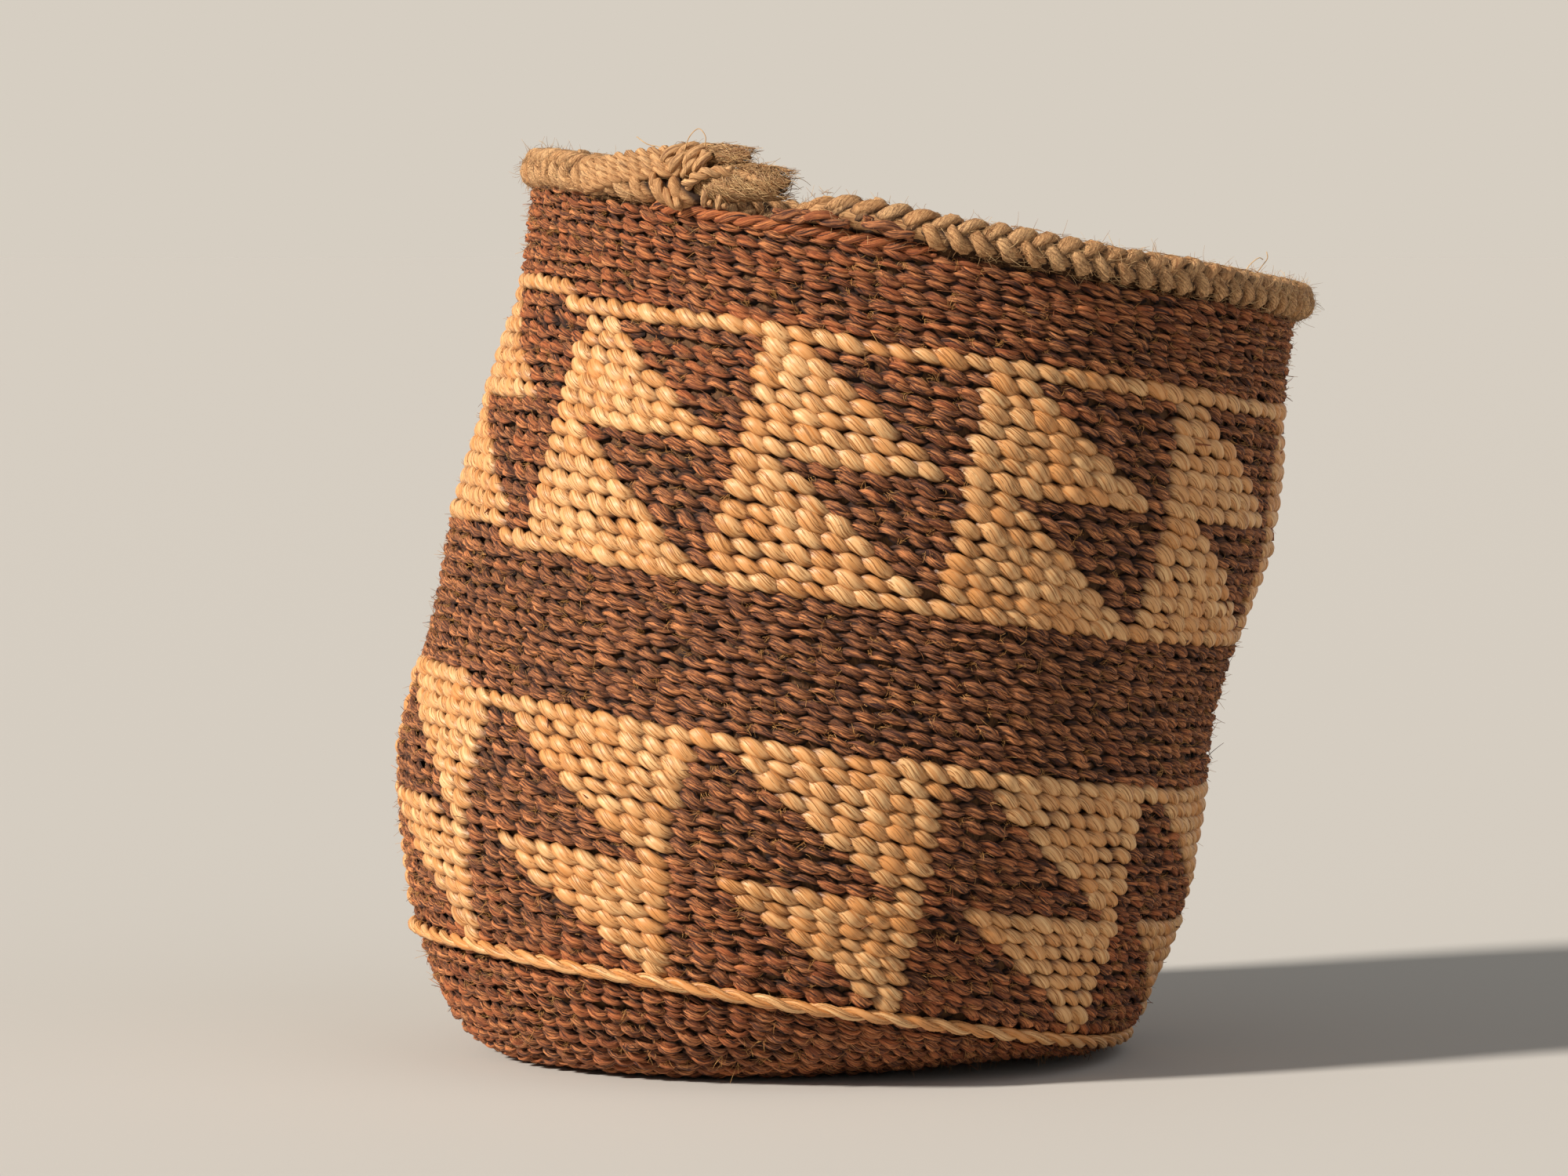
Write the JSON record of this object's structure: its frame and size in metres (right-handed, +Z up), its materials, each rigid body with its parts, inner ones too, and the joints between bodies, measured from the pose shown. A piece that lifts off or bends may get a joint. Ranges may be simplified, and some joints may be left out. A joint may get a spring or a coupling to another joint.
{
  "type": "sally bag",
  "caption": "Small leaning twined bag with an open mouth, rolled and knotted cord rim, flat base and bands of stepped triangles.",
  "frame": {"origin": "centre of the bounding box's bottom face, on the surface the bag stands on", "axes": "+Z up; -Y is the side with the knot in the rim; +X is the side the bag leans to, seen from -Y"},
  "size_m": [0.1474, 0.13, 0.1462],
  "materials": {
    "bark": "matte",
    "husk": "satin",
    "jute": "matte",
    "warp": "matte"
  },
  "bodies": {
    "root": {"base_hub": "bark", "base_courses_inner": "bark", "base_courses_outer": "bark", "heel_courses": "bark", "lower_band_low": "husk", "lower_band_high": "husk", "middle_courses": "bark", "upper_band_low": "husk", "upper_band_high": "husk", "top_courses": "bark", "overlay_cord": "husk", "rim_binding": "jute", "rim_core": "jute", "knot_coil": "jute", "frayed_tail": "jute", "rim_stub": "jute", "warp_cord_01": "warp", "warp_cord_02": "warp", "warp_cord_03": "warp", "warp_cord_04": "warp", "warp_cord_05": "warp", "warp_cord_06": "warp", "warp_cord_07": "warp", "warp_cord_08": "warp", "warp_cord_09": "warp", "warp_cord_10": "warp", "warp_cord_11": "warp", "warp_cord_12": "warp", "warp_cord_13": "warp", "warp_cord_14": "warp", "warp_cord_15": "warp", "warp_cord_16": "warp", "warp_cord_17": "warp", "warp_cord_18": "warp", "warp_cord_19": "warp", "warp_cord_20": "warp"}
  },
  "joints": []
}
